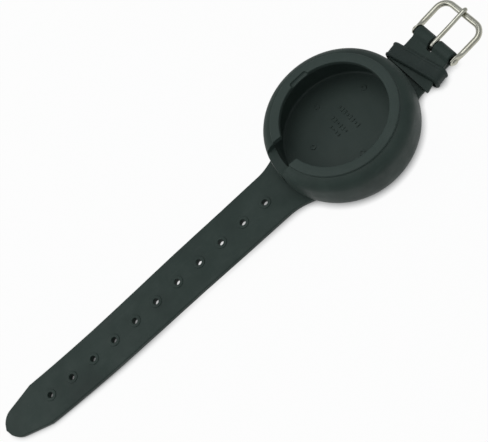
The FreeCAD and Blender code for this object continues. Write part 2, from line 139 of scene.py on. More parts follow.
def combine(obj: Piece, tools: Iterable[Piece], join: Join = Join.CUT) -> None:
    """Cut closed tools out of an object or add them to it, then remove the tools."""
    for tool in tools:
        apply_modifier(obj, "BOOLEAN", operation=join.value, solver="EXACT", object=tool)
        bpy.data.objects.remove(tool)


def move_points(obj: Piece, rule: Callable[[Vector], Vector]) -> None:
    """Move every vertex of a mesh by a rule that takes its place and returns the new one."""
    for vertex in obj.data.vertices:
        vertex.co = rule(vertex.co.copy())
    obj.data.update()


def clean(obj: Piece, merge: float = 0.00002) -> None:
    """Merge vertices nearer than a distance in metres and turn all faces outwards."""
    make_active(obj)
    set_mode("EDIT")
    bpy.ops.mesh.select_all(action="SELECT")
    bpy.ops.mesh.remove_doubles(threshold=merge)
    bpy.ops.mesh.normals_make_consistent(inside=False)
    set_mode("OBJECT")


def smooth(obj: Piece, angle: float = 32.0) -> None:
    """Shade smooth, with a crease where faces meet at more than the angle in degrees."""
    make_active(obj)
    bpy.ops.object.shade_smooth_by_angle(angle=math.radians(angle))


def choose_edges(obj: Piece, wanted: Callable[[bmesh.types.BMEdge], bool]) -> int:
    """Select only the edges that pass a test, in a mesh that is in edit mode, and count them."""
    bpy.ops.mesh.select_mode(type="EDGE")
    bpy.ops.mesh.select_all(action="DESELECT")
    mesh = bmesh.from_edit_mesh(obj.data)
    chosen = [edge for edge in mesh.edges if wanted(edge)]
    for edge in chosen:
        edge.select_set(True)
    bmesh.update_edit_mesh(obj.data)
    return len(chosen)


def select_edges(obj: Piece, wanted: Callable[[Vector, Vector], bool]) -> int:
    """Enter edit mode, select the edges whose two ends pass a test, and count them."""
    make_active(obj)
    set_mode("EDIT")
    return choose_edges(obj, lambda edge: wanted(edge.verts[0].co, edge.verts[1].co))


def close_open_edges(obj: Piece) -> None:
    """Put a face on the open edges of a mesh that is in edit mode."""
    if choose_edges(obj, lambda edge: edge.is_boundary):
        bpy.ops.mesh.edge_face_add()


def place_ring(obj: Piece, spots: Sequence[Vector]) -> None:
    """Put the selected vertices, in the order of their making, at given places."""
    mesh = bmesh.from_edit_mesh(obj.data)
    chosen = sorted((v for v in mesh.verts if v.select), key=lambda v: v.index)
    for vertex, spot in zip(chosen, spots):
        vertex.co = spot
    bmesh.update_edit_mesh(obj.data)


def block(name: str, low: Point, high: Point) -> Piece:
    """A block between two corners, in metres.

    Args:
        name: the new object's name.
        low, high: its lowest and highest corners.

    Returns:
        The new object.
    """
    deselect_all()
    middle = [(a + b) / 2 for a, b in zip(low, high)]
    bpy.ops.mesh.primitive_cube_add(size=1.0, location=middle)
    obj = name_new(name)
    obj.scale = [b - a for a, b in zip(low, high)]
    return settle(obj)


def rounded_block(name: str, low: Point, high: Point, bevel: float, segments: int = 3) -> Piece:
    """A block between two corners with bevelled edges, in metres.

    Args:
        name: the new object's name.
        low, high: its lowest and highest corners.
        bevel: width of the bevel.
        segments: rows of faces in the bevel.

    Returns:
        The new object.
    """
    obj = block(name, low, high)
    set_mode("EDIT")
    bpy.ops.mesh.select_all(action="SELECT")
    bpy.ops.mesh.bevel(offset=bevel, segments=segments, affect="EDGES")
    set_mode("OBJECT")
    return obj


def stud(name: str, place: Point, radius: float, height: float, bevel: float,
         sides: int = 40) -> Piece:
    """An upright round block with bevelled rims, its middle at a place.

    Args:
        name: the new object's name.
        place: the middle.
        radius: radius of the round.
        height: whole height.
        bevel: bevel of both rims, or 0.
        sides: sides of the round.

    Returns:
        The new object.
    """
    deselect_all()
    bpy.ops.mesh.primitive_cylinder_add(vertices=sides, radius=radius, depth=height, location=place)
    obj = name_new(name)
    settle(obj)
    if bevel > 0:
        level = place[2]
        select_edges(obj, lambda a, b: abs(a.z - b.z) < height / 4 and abs(a.z - level) > height / 4)
        bpy.ops.mesh.bevel(offset=bevel, segments=3, affect="EDGES")
        set_mode("OBJECT")
    return obj


class Nodes:
    """A small builder for one material's nodes."""

    def __init__(self, name: str) -> None:
        """Start a material with a Principled shader."""
        self.material = bpy.data.materials.new(name)
        self.material.use_nodes = True
        self.tree = self.material.node_tree
        self.shader = self.tree.nodes["Principled BSDF"]
        self.place = self.tree.nodes.new("ShaderNodeTexCoord").outputs["Object"]

    def fill(self, node: bpy.types.Node, **inputs) -> bpy.types.Node:
        """Set or link a node's inputs, named with _ for a space, and return the node."""
        for key, value in inputs.items():
            self.put(node.inputs[key.replace("_", " ")], value)
        return node

    def node(self, kind: str, **inputs) -> bpy.types.Node:
        """Add a node of a kind, with its inputs set or linked."""
        return self.fill(self.tree.nodes.new(kind), **inputs)

    def put(self, socket: Socket, value: Value) -> None:
        """Link an input to a given output, or give it a plain number, colour or vector."""
        if isinstance(value, Socket):
            self.tree.links.new(value, socket)
        else:
            socket.default_value = value

    def noise(self, scale: float, detail: float = 4.0, rough: float = 0.5,
              place: Socket | None = None) -> Socket:
        """Noise by the object's place, or by another place that is given."""
        made = self.node("ShaderNodeTexNoise", Vector=place or self.place, Scale=scale,
                         Detail=detail, Roughness=rough)
        return made.outputs["Fac"]

    def stretched(self, scale: Point) -> Socket:
        """The object place stretched along its axes."""
        return self.node("ShaderNodeMapping", Vector=self.place, Scale=scale).outputs["Vector"]

    def ramp(self, fac: Value, stops: Sequence[tuple[float, tuple]]) -> Socket:
        """A colour ramp.

        Args:
            fac: where along the ramp to read.
            stops: each stop's place and colour.

        Returns:
            The colour.
        """
        made = self.node("ShaderNodeValToRGB", Fac=fac)
        elements = made.color_ramp.elements
        while len(elements) < len(stops):
            elements.new(0.5)
        for element, (spot, colour) in zip(elements, stops):
            element.position = spot
            element.color = (*colour, 1.0)
        return made.outputs["Color"]

    def span(self, value: Value, low: float, high: float, new_low: float, new_high: float) -> Socket:
        """Map a value from one span to another and hold it inside.

        Args:
            value: the value to map.
            low, high: the old span.
            new_low, new_high: the new span.

        Returns:
            The mapped value.
        """
        made = self.tree.nodes.new("ShaderNodeMapRange")
        for index, item in enumerate((value, low, high, new_low, new_high)):
            self.put(made.inputs[index], item)
        return made.outputs[0]

    def maths(self, operation: str, first: Value, second: Value) -> Socket:
        """A maths node's result on two values."""
        made = self.tree.nodes.new("ShaderNodeMath")
        made.operation = operation
        self.put(made.inputs[0], first)
        self.put(made.inputs[1], second)
        return made.outputs[0]

    def mix(self, fac: Value, first: Value, second: Value) -> Socket:
        """A mix of two colours, with fac the share of the second."""
        made = self.tree.nodes.new("ShaderNodeMix")
        made.data_type = "RGBA"
        self.put(made.inputs["Factor"], fac)
        self.put(made.inputs[6], first)
        self.put(made.inputs[7], second)
        return made.outputs[2]

    def bump(self, height: Socket, strength: float, distance: float,
             under: Socket | None = None) -> Socket:
        """A bump, laid over another one if it is given.

        Args:
            height: the height to read.
            strength: share of the bump that shows.
            distance: height of a value of 1, in metres.
            under: the normal of the bump below.

        Returns:
            The bumped normal.
        """
        made = self.node("ShaderNodeBump", Height=height, Strength=strength, Distance=distance)
        if under is not None:
            self.put(made.inputs["Normal"], under)
        return made.outputs["Normal"]


@dataclass(frozen=True)
class MouldedRubber:
    """Matt black-green rubber with fine grain, rubbed patches and a little dust, and for the cup a paler
    painted light over its shaded inside.
    """

    name: str = "rubber"
    dark: tuple = (0.016, 0.026, 0.022)
    usual: tuple = (0.020, 0.034, 0.028)
    rubbed: tuple = (0.030, 0.046, 0.039)
    dust: tuple = (0.09, 0.11, 0.10)
    grain_scale: float = 2600.0
    patch_scale: float = 46.0
    roughness: float = 0.56
    # Paler colour painted inside the cup as light on its shaded floor and inner wall, or None.
    painted_light_tone: tuple | None = None

    def build(self) -> Material:
        """Make the material."""
        n = Nodes(self.name)
        patches = n.noise(self.patch_scale, 6.0, 0.6)
        colour = n.ramp(patches, [(0.25, self.dark), (0.5, self.usual), (0.78, self.rubbed)])
        # Painted light: the paler tone lifts the shaded floor and inner wall of the cup.
        if self.painted_light_tone is not None:
            colour = n.mix(self.painted_light_mask(n), colour, (*self.painted_light_tone, 1.0))
        specks = n.noise(900.0, 2.0, 0.7)
        speck_mask = n.span(specks, 0.70, 0.78, 0.0, 0.55)
        streaks = n.noise(60.0, 5.0, 0.65, n.stretched((0.5, 5.0, 1.0)))
        streak_mask = n.span(streaks, 0.60, 0.82, 0.0, 0.16)
        veil = n.maths("MAXIMUM", n.maths("MULTIPLY", speck_mask, n.span(patches, 0.4, 0.7, 0.0, 1.0)),
                       streak_mask)
        rough = n.span(n.noise(110.0, 4.0, 0.6), 0.3, 0.7, self.roughness - 0.07, self.roughness + 0.09)
        fine = n.bump(n.noise(self.grain_scale, 3.0, 0.6), 0.35, 0.00008)
        soft = n.bump(n.noise(240.0, 4.0, 0.55), 0.25, 0.00025, fine)
        n.fill(n.shader, Base_Color=n.mix(veil, colour, (*self.dust, 1.0)), Roughness=rough, Normal=soft,
               Specular_IOR_Level=0.24, Sheen_Weight=0.015, Sheen_Roughness=0.5)
        return n.material

    def painted_light_mask(self, n: Nodes) -> Socket:
        """Where painted light lifts the cup's shaded inside: the cup's floor, less up its inner wall, 0
        outside.
        """
        spot = n.node("ShaderNodeSeparateXYZ", Vector=n.place)
        x, y, z = spot.outputs
        square = n.maths("ADD", n.maths("MULTIPLY", x, x), n.maths("MULTIPLY", y, y))
        within = n.span(n.maths("POWER", square, 0.5), 0.0306, 0.0315, 1.0, 0.0)
        return n.maths("MULTIPLY", within, n.span(z, 0.004, 0.019, 0.85, 0.60))


@dataclass(frozen=True)
class NickelWire:
    """Bright nickel-plated wire with drawn lines, fine scratches and slight yellowing."""

    name: str = "nickel"
    bright: tuple = (0.50, 0.50, 0.43)
    warm: tuple = (0.37, 0.36, 0.29)
    dull: tuple = (0.22, 0.215, 0.17)
    along: Point = (0.15, 1.0, 1.0)

    def build(self) -> Material:
        """Make the material."""
        n = Nodes(self.name)
        tone = n.ramp(n.noise(150.0, 4.0, 0.6), [(0.30, self.warm), (0.62, self.bright)])
        drawn = n.noise(1900.0, 3.0, 0.6, n.stretched(self.along))
        spots = n.span(n.noise(520.0, 3.0, 0.7), 0.66, 0.80, 0.0, 0.4)
        rough = n.maths("ADD", n.span(drawn, 0.3, 0.7, 0.16, 0.30), n.maths("MULTIPLY", spots, 0.2))
        n.fill(n.shader, Base_Color=n.mix(spots, tone, (*self.dull, 1.0)), Metallic=1.0,
               Roughness=rough, Normal=n.bump(drawn, 0.12, 0.00002))
        return n.material


@dataclass(frozen=True)
class WhitePaper:
    """The pale ground that the strap lies on, plain white to the camera, with painted contact shade near
    the strap and cup.
    """

    name: str = "paper"
    colour: tuple = (0.56, 0.57, 0.56)

    def build(self) -> Material:
        """Make the material: matt paper, with its far side seen as plain white and painted contact shade
        where ambient occlusion is high.
        """
        n = Nodes(self.name)
        tone = n.ramp(n.noise(30.0, 3.0, 0.5), [(0.3, self.colour), (0.7, (0.59, 0.60, 0.59))])
        n.fill(n.shader, Base_Color=tone, Roughness=0.9, Normal=n.bump(n.noise(900.0, 3.0), 0.1, 0.0001))
        rays = n.tree.nodes.new("ShaderNodeLightPath")
        glow = n.node("ShaderNodeEmission", Color=(1.0, 1.0, 1.0, 1.0), Strength=1.0)
        seen = n.maths("MAXIMUM", rays.outputs["Is Camera Ray"], rays.outputs["Is Glossy Ray"])
        seen = n.maths("MAXIMUM", seen, rays.outputs["Is Transmission Ray"])
        # Painted contact shade: ambient occlusion from the strap and cup close above withdraws the white
        # glow, so the lit paper and its shadow show through there.
        near = n.node("ShaderNodeAmbientOcclusion", Distance=0.0045).outputs["AO"]
        share = n.span(near, 0.25, 0.85, 0.10, 0.96)
        glow_with_painted_contact_shade = n.node("ShaderNodeMixShader", Fac=n.maths("MULTIPLY", seen, share))
        n.put(glow_with_painted_contact_shade.inputs[1], n.shader.outputs[0])
        n.put(glow_with_painted_contact_shade.inputs[2], glow.outputs[0])
        n.fill(n.tree.nodes["Material Output"], Surface=glow_with_painted_contact_shade.outputs[0])
        return n.material


def dress(obj: Piece, material: Material) -> None:
    """Give an object one material."""
    obj.data.materials.clear()
    obj.data.materials.append(material)


def arc_points(start: Spot, finish: Spot, radius: float, steps: int) -> list[Spot]:
    """Points of an arc that bulges to the right of the way from start to finish.

    Args:
        start: first point, across and up.
        finish: last point.
        radius: the arc's radius.
        steps: number of edges.

    Returns:
        The points after the start, the finish among them.
    """
    a, b = Vector(start), Vector(finish)
    chord = b - a
    half = chord.length / 2
    left = Vector((-chord.y, chord.x)).normalized()
    centre = (a + b) / 2 + left * math.sqrt(max(radius ** 2 - half ** 2, 0.0))
    begin = math.atan2(a.y - centre.y, a.x - centre.x)
    end = math.atan2(b.y - centre.y, b.x - centre.x)
    if end < begin:
        end += FULL_TURN
    return [(centre.x + radius * math.cos(begin + (end - begin) * i / steps),
             centre.y + radius * math.sin(begin + (end - begin) * i / steps))
            for i in range(1, steps + 1)]


@dataclass
class InstrumentCup:
    """The round cup: wall, rounded shoulder, raised lip ring, cavity and floor marks."""

    sides: int = 160
    foot: float = 34.8
    wide: float = 36.8
    wide_up: float = 7.5
    shoulder: float = 36.1
    shoulder_up: float = 16.5
    ledge: float = 31.3
    ledge_up: float = 21.7
    ring_out: float = 30.6
    mouth: float = 26.0
    lip: float = 2.6
    cavity: float = 31.2
    floor: float = 3.0
    edge: float = 0.45
    notch_turn: float = 6.0
    notch_half: float = 7.3
    notch_depth: float = 5.4
    ring_marks: tuple = ((20.6, 10.7), (-1.4, 20.5), (-15.9, 5.3), (-1.5, -14.6), (5.2, -18.2))
    bar_marks: tuple = ((6.3, 4.6, 8, 2.3), (0.3, 4.8, 6, 2.1), (-3.3, 3.9, 4, 1.4))
    bar_pitch: float = 2.0
    bar_half: float = 0.42
    mark_height: float = 0.45
    top: float = field(init=False)

    def __post_init__(self) -> None:
        """Read the cup's height from the frame."""
        self.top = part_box("cup")[1].z / MM

    def profile(self) -> list[Spot]:
        """Radius and height of each ring of the wall, from the foot to the cavity's floor."""
        edge = self.edge
        spots = [(self.foot - 1.0, 0.0), (self.foot - 0.35, 0.12), (self.foot, 0.5)]
        spots += arc_points((self.foot, 0.5), (self.wide, self.wide_up), 14.0, 6)
        spots += arc_points(spots[-1], (self.shoulder, self.shoulder_up), 58.0, 6)
        spots += arc_points(spots[-1], (self.ledge, self.ledge_up), 6.6, 12)
        spots += [(self.ring_out + 0.12, self.ledge_up + 0.02), (self.ring_out, self.ledge_up + 0.2)]
        spots += [(self.ring_out, self.top - edge)]
        spots += arc_points(spots[-1], (self.ring_out - edge, self.top), edge, 4)
        spots += [(self.mouth + edge, self.top)]
        spots += arc_points(spots[-1], (self.mouth, self.top - edge), edge, 4)
        cavity, floor, lip = self.cavity, self.floor, self.top - self.lip
        spots += [(self.mouth, lip + edge)]
        spots += arc_points(spots[-1], (self.mouth + edge, lip), edge, 3)
        spots += [(cavity - 0.8, lip), (cavity - 0.2, lip - 0.25), (cavity, lip - 0.9), (cavity, 12.0),
                  (cavity, floor + 1.6), (cavity - 0.25, floor + 0.75), (cavity - 0.85, floor + 0.2),
                  (cavity - 1.7, floor)]
        return spots + [(radius, floor) for radius in (27.0, 20.0, 12.0, 5.0)]

    def wall(self) -> Piece:
        """Raise a round face ring by ring through the profile."""
        spots = self.profile()
        deselect_all()
        radius, level = spots[0]
        bpy.ops.mesh.primitive_circle_add(vertices=self.sides, radius=radius * MM, fill_type="NGON",
                                          location=(0, 0, level * MM))
        cup = name_new("cup_shell")
        settle(cup)
        set_mode("EDIT")
        bpy.ops.mesh.select_mode(type="FACE")
        bpy.ops.mesh.select_all(action="SELECT")
        for next_radius, next_level in spots[1:]:
            bpy.ops.mesh.extrude_region_move(
                TRANSFORM_OT_translate={"value": (0, 0, (next_level - level) * MM)})
            share = next_radius / radius
            bpy.ops.transform.resize(value=(share, share, 1.0), center_override=(0, 0, 0))
            radius, level = next_radius, next_level
        close_open_edges(cup)
        set_mode("OBJECT")
        clean(cup)
        return cup

    def notch_tool(self) -> Piece:
        """The block that opens the lip over the long strap, its floor corners rounded."""
        low = (-0.042, -self.notch_half * MM, (self.top - self.notch_depth) * MM)
        high = (-0.0235, self.notch_half * MM, 0.030)
        return self.turned(rounded_block("notch_tool", low, high, 0.0006))

    def groove_tool(self) -> Piece:
        """The thin block that cuts the slit down the wall beside the notch."""
        low = (-0.040, -self.notch_half * MM, 0.007)
        high = (-(self.wide - 1.4) * MM, (-self.notch_half + 1.5) * MM,
                (self.top - self.notch_depth + 0.3) * MM)
        return self.turned(rounded_block("groove_tool", low, high, 0.00025, 2))

    def turned(self, tool: Piece) -> Piece:
        """Turn a tool about the cup's axis to the notch's place."""
        tool.matrix_world = Matrix.Rotation(math.radians(-self.notch_turn), 4, "Z")
        return settle(tool)

    def relief_tool(self) -> Piece:
        """The block that thins the lip on the left side."""
        return rounded_block("relief_tool", (-0.005, 0.022, (self.top - 1.5) * MM),
                             (0.005, 0.0276, 0.030), 0.0012, 4)

    def ring_mark(self, index: int, x: float, y: float) -> Piece:
        """One raised ring on the floor at a place in mm, as a mould's pin leaves it."""
        mark = stud(f"floor_ring_{index}", (x * MM, y * MM, (self.floor + 0.1) * MM), 0.00145, 0.0007,
                    0.00015, 32)
        hole = stud("floor_ring_hole", (x * MM, y * MM, (self.floor + 0.6) * MM), 0.0008, 0.001, 0.0, 24)
        combine(mark, [hole])
        return mark

    def bar_mark(self, row: int, step: int, y: float) -> Piece:
        """One raised bar on the floor, every third one short.

        Args:
            row: the bar's row.
            step: its number in the row.
            y: its place across the strap, in mm.

        Returns:
            The bar.
        """
        x, _, _, length = self.bar_marks[row]
        half = length / 2 * (0.55 if (step + row) % 3 == 1 else 1.0)
        low = ((x - half) * MM, (y - self.bar_half) * MM, (self.floor - 0.1) * MM)
        high = ((x + half) * MM, (y + self.bar_half) * MM, (self.floor + self.mark_height) * MM)
        return rounded_block(f"floor_bar_{row}_{step}", low, high, 0.00015, 2)

    def floor_marks(self) -> list[Piece]:
        """Plain raised rings and bars on the floor."""
        marks = [self.ring_mark(index, x, y) for index, (x, y) in enumerate(self.ring_marks)]
        for row, (_, middle, count, _) in enumerate(self.bar_marks):
            marks += [self.bar_mark(row, step, middle + (step - (count - 1) / 2) * self.bar_pitch)
                      for step in range(count)]
        return marks

    def build(self) -> Piece:
        """Make the cup with its cuts and marks."""
        cup = self.wall()
        combine(cup, [self.notch_tool(), self.groove_tool(), self.relief_tool()])
        clean(cup)
        marks = self.floor_marks()
        make_active(cup)
        for mark in marks:
            mark.select_set(True)
        bpy.ops.object.join()
        smooth(cup, 28.0)
        return cup

    def dress(self, cup: Piece, rubber: Material) -> None:
        """Give the cup its rubber and its place in the frame."""
        dress(cup, rubber)
        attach(cup, "cup_body")
        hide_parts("cup")


def interpolate(table: Sequence[Spot], value: float) -> float:
    """Read a table of amounts at a place between two of its rows.

    Args:
        table: rows of place and amount, in order.
        value: the place.

    Returns:
        The amount, which stays the same past either end.
    """
    if value <= table[0][0]:
        return table[0][1]
    for (x0, y0), (x1, y1) in zip(table, table[1:]):
        if value <= x1:
            return y0 + (y1 - y0) * (value - x0) / (x1 - x0)
    return table[-1][1]


def hug_wall(p: Vector, root: float, free: float) -> float:
    """Place along the strap of a point whose strip starts on a circle inside the cup's wall.

    Args:
        p: the point on the flat strip, in metres.
        root: radius of the circle where the strip starts, in mm.
        free: distance past which the strip is straight, in mm.

    Returns:
        The distance from the cup's axis, in metres.
    """
    share = min(max((free - p.x / MM) / (free - root), 0.0), 1.0)
    radius = root * MM
    return p.x - share * (radius - math.sqrt(max(radius ** 2 - p.y ** 2, 0.0)))


@dataclass
class Slab:
    """A flat strip of rubber along +X from start to end, its underside at 0, in mm."""

    name: str
    start: float
    end: float
    thickness: float
    half_at: Callable[[float], float]
    step: float = 1.6
    edge: float = 0.75
    rough_half: float = 10.0
    rows: tuple = (-6.6, -3.3, 0.0, 3.3, 6.6)

    def build(self) -> Piece:
        """Make the strip: a block cut across at even steps, its long edges rounded, then widened."""
        rough, edge = self.rough_half * MM, self.edge * MM
        high = (self.end * MM, rough, self.thickness * MM)
        slab = block(self.name, (self.start * MM, -rough, 0.0), high)
        select_edges(slab, lambda a, b: abs(a.x - b.x) > 1e-6)
        bpy.ops.mesh.bevel(offset=edge, segments=4, affect="EDGES")
        steps = max(int(round((self.end - self.start) / self.step)), 1)
        cuts = [((self.start + (self.end - self.start) * i / steps) * MM, 0.0) for i in range(1, steps)]
        for x, y in cuts + [(0.0, row * MM) for row in self.rows]:
            across = (1, 0, 0) if x else (0, 1, 0)
            bpy.ops.mesh.select_all(action="SELECT")
            bpy.ops.mesh.bisect(plane_co=(x, y, 0), plane_no=across)
        set_mode("OBJECT")
        inner = rough - edge

        def widen(p: Vector) -> Vector:
            """Move a point outwards to the strip's real half width."""
            half = self.half_at(p.x / MM) * MM
            if abs(p.y) <= inner:
                return Vector((p.x, p.y * (half - edge) / inner, p.z))
            return Vector((p.x, math.copysign(half - (rough - abs(p.y)), p.y), p.z))

        move_points(slab, widen)
        return slab


@dataclass
class LongStrap:
    """The long strap with its holes, in pieces that meet in the middle of each rigid length."""

    thickness: float = 3.0
    first_bend: float = 43.45
    hole_pitch: float = 14.1
    holes: int = 11
    hole_radius: float = 1.5
    boss_radius: float = 3.1
    boss_height: float = 0.35
    root_start: float = 33.6
    flare_start: float = 45.0
    flare: float = 4.6
    taper_start: float = 198.5
    tip: float = 220.4
    first_reach: float = 5.0
    bend_reach: float = 8.0
    root_half: float = 13.2
    narrowing: float = 1.0
    even_start: float = 50.5
    even_run: float = 141.0
    shoulder_half: float = 12.15
    tip_half: float = 6.4
    round_start: float = 214.2
    lifts: tuple = ((33.0, 2.0), (43.45, 2.0), (57.5, 2.45), (71.65, 3.0), (85.7, 3.32), (99.85, 3.4),
                    (114.0, 3.05), (128.05, 2.4), (142.1, 1.6), (156.25, 0.8), (170.3, 0.4),
                    (184.45, 0.2), (221.0, 0.12))
    bow_start: float = 40.0
    bow_run: float = 180.0
    bow: tuple = (-3.68, 8.64, 0.135)

    def bends(self) -> list[float]:
        """Distances of the bending lines from the cup's axis."""
        return [self.first_bend + 2 * i * self.hole_pitch for i in range(6)]

    def hole_spots(self) -> list[float]:
        """Distances of the holes from the cup's axis."""
        return [self.first_bend + self.hole_pitch * (0.5 + i) for i in range(self.holes)]

    def half_at(self, run: float) -> float:
        """Half width at a distance from the cup's axis: flare, even taper, then the pointed end."""
        even = self.root_half - self.narrowing * (run - self.even_start) / self.even_run
        if run < self.flare_start:
            share = (self.flare_start - run) / (self.flare_start - self.root_start)
            return even + self.flare * share * share
        if run > self.taper_start:
            share = (run - self.taper_start) / (self.tip - self.taper_start)
            straight = self.shoulder_half - (self.shoulder_half - self.tip_half) * share
            past = max(0.0, (run - self.round_start) / (self.tip - self.round_start + 0.02))
            return straight * math.sqrt(max(0.0, 1.0 - past ** 2))
        return even

    def lay(self, p: Vector) -> Vector:
        """Carry a point of the flat strap to its place, with the strap's lift and sideways bow."""
        run = p.x / MM
        share = max(0.0, (run - self.bow_start) / self.bow_run)
        side = self.bow[0] * share + self.bow[1] * share ** 2 + self.bow[2] * share ** 3
        side *= min(1.0, share * 6.0)
        curl = 0.35 * math.sin(run * 0.05) * (p.y / 0.012) ** 2 * min(1.0, max(0.0, (run - 60.0) / 40.0))
        lift = interpolate(self.lifts, run) + max(0.0, curl) * 0.5
        out = hug_wall(p, self.root_start, self.flare_start)
        return Vector((-out, p.y + side * MM, p.z + lift * MM))

    def hole_tools(self, spots: Sequence[float]) -> tuple[list, list]:
        """The raised rings to add and the pins to cut, for holes at distances in mm."""
        rings, pins = [], []
        for spot in spots:
            middle = (self.thickness - 0.6 + self.boss_height) * MM
            rings.append(stud("hole_ring", (spot * MM, 0, middle), self.boss_radius * MM, 0.0012, 0.0003))
            pins.append(stud("hole_pin", (spot * MM, 0, self.thickness / 2 * MM), self.hole_radius * MM,
                             0.008, 0.0, 32))
        return rings, pins

    def piece(self, number: int, start: float, end: float) -> Piece:
        """One piece of the strap.

        Args:
            number: the piece's number, from the cup.
            start, end: distances of its ends from the cup's axis, in mm.

        Returns:
            The piece in its place.
        """
        slab = Slab(f"long_strap_{number}", start, end, self.thickness, self.half_at,
                    step=1.1 if end > 200 else 1.6).build()
        spots = [spot for spot in self.hole_spots() if start < spot < end]
        rings, pins = self.hole_tools(spots)
        combine(slab, rings, Join.ADD)
        combine(slab, pins)
        for spot in spots:
            rim = select_edges(slab, lambda a, b, s=spot: all(
                abs((Vector((q.x - s * MM, q.y))).length - self.hole_radius * MM) < 0.00005
                and q.z > self.thickness * MM for q in (a, b)))
            if rim:
                bpy.ops.mesh.bevel(offset=0.00022, segments=2, affect="EDGES")
            set_mode("OBJECT")
        move_points(slab, self.lay)
        clean(slab)
        smooth(slab, 35.0)
        return slab

    def build(self) -> list[Piece]:
        """Make all seven pieces, from the cup to the tip."""
        middles = [bend + self.hole_pitch for bend in self.bends()]
        starts = [self.root_start] + middles
        ends = middles + [self.tip]
        return [self.piece(i + 1, a, b) for i, (a, b) in enumerate(zip(starts, ends))]

    def dress(self, strips: Sequence[Piece], rubber: Material) -> None:
        """Give each piece, from the cup on, its rubber; the last one rides its tail's body and the others
        keep their baked place.
        """
        bodies = ["cup_body"] + [f"tail_{i}_body" for i in range(1, 7)]
        for index, strip in enumerate(strips):
            dress(strip, rubber)
            if index == len(strips) - 1:
                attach(strip, bodies[-1])
                continue
            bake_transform(strip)
            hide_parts(f"tail_{index + 1}")


def buckle_hinge() -> Vector:
    """The middle of the line that the buckle swings on, read from the frame."""
    return Vector(next(j for j in frame["joints"] if j["name"] == "buckle_swing")["pos_m"])


@dataclass
class ShortStrap:
    """The short strap, folded back over the buckle's bar and held by the keeper."""

    thickness: float = 2.2
    root: float = 33.4
    straight: float = 48.0
    flare_start: float = 37.35
    flare: float = 2.8
    root_half: float = 13.2
    half: float = 11.6
    slot_half_under: float = 1.24
    slot_half_over: float = 1.65
    slot_under: float = 3.6
    slot_over: float = 4.4
    bar: float = field(init=False)
    outside: float = 3.4
    lift: float = 2.0
    rise: float = 1.1
    drop_run: float = 3.1
    flap: float = 38.3
    gap: float = 0.3
    shift: float = -2.0
    flap_flare: float = 2.5
    rise_start: float = field(init=False)
    rise_end: float = field(init=False)

    def __post_init__(self) -> None:
        """Read the buckle bar's place from the frame."""
        self.bar = buckle_hinge().x / MM
        self.rise_start = self.bar - self.rise
        self.rise_end = self.rise_start - self.drop_run

    def lengths(self) -> tuple[float, float, float, float]:
        """Runs of the fold's start and end, the drop's start and the flap's end."""
        fold = self.bar
        past = fold + math.pi * self.outside
        drop = past + self.bar - self.rise_start
        return fold, past, drop, past + self.bar - self.flap

    def plan_half(self, x: float) -> float:
        """Half width where the strap passes a distance from the cup's axis."""
        if x >= self.straight:
            return self.half
        if x < self.flare_start:
            share = (self.flare_start - x) / (self.flare_start - self.root)
            return self.root_half + self.flare * share ** 2
        share = (self.straight - x) / (self.straight - self.flare_start)
        return self.half + (self.root_half - self.half) * share

    def half_at(self, run: float) -> float:
        """Half width at a run along the strap, counted from the cup's axis and round the fold."""
        fold, past, _, end = self.lengths()
        if run <= fold:
            return self.plan_half(run)
        if run <= past:
            return self.half
        x = self.bar - (run - past)
        half = self.half + self.flap_flare * max(0.0, self.straight - x) / (self.straight - self.flap)
        left = end - run
        return half - max(0.0, 0.8 - left) * 0.5

    def lay(self, p: Vector) -> Vector:
        """Carry a point of the flat strap to its place round the bar."""
        fold, past, _, _ = self.lengths()
        run, up = p.x / MM, p.z / MM
        middle = self.lift + self.outside
        if run <= fold:
            return Vector((hug_wall(p, self.root, 38.0), p.y, (self.lift + up) * MM))
        if run <= past:
            angle = -math.pi / 2 + (run - fold) / self.outside
            reach = self.outside - up
            return Vector(((self.bar + reach * math.cos(angle)) * MM, p.y,
                           (middle + reach * math.sin(angle)) * MM))
        x = self.bar - (run - past)
        high = middle + self.outside
        low = self.lift + 2 * self.thickness + self.gap
        share = min(max((self.rise_start - x) / (self.rise_start - self.rise_end), 0.0), 1.0)
        outer = high + (low - high) * share * share * (3 - 2 * share)
        fade = min(1.0, max(0.0, (x - 38.0) / 4.0))
        outer += 0.12 * math.sin((self.rise_end - x) * 0.35) * share * fade
        side = self.shift * min(max((self.rise_start - x) / (self.rise_start - self.flap), 0.0), 1.0)
        return Vector((x * MM, p.y + side * MM, (outer - up) * MM))

    def build(self) -> Piece:
        """Make the folded strap with the prong's slot."""
        fold, past, _, end = self.lengths()
        strap = Slab("short_strap_fold", self.root, end, self.thickness, self.half_at,
                     step=0.7, edge=0.55).build()
        under, over = self.slot_half_under * MM, self.slot_half_over * MM
        tools = [rounded_block("slot_under", ((fold - self.slot_under) * MM, -under, -0.001),
                               ((fold + 4.0) * MM, under, 0.004), 0.0008, 4),
                 rounded_block("slot_over", ((fold + 1.0) * MM, -over, -0.001),
                               ((past + self.slot_over) * MM, over, 0.004), 0.0008, 4)]
        combine(strap, tools)
        move_points(strap, self.lay)
        clean(strap)
        smooth(strap, 35.0)
        return strap

    def dress(self, strap: Piece, rubber: Material) -> None:
        """Give the strap its rubber and bake its place beside the cup."""
        dress(strap, rubber)
        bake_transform(strap)
        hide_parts("short_strap")


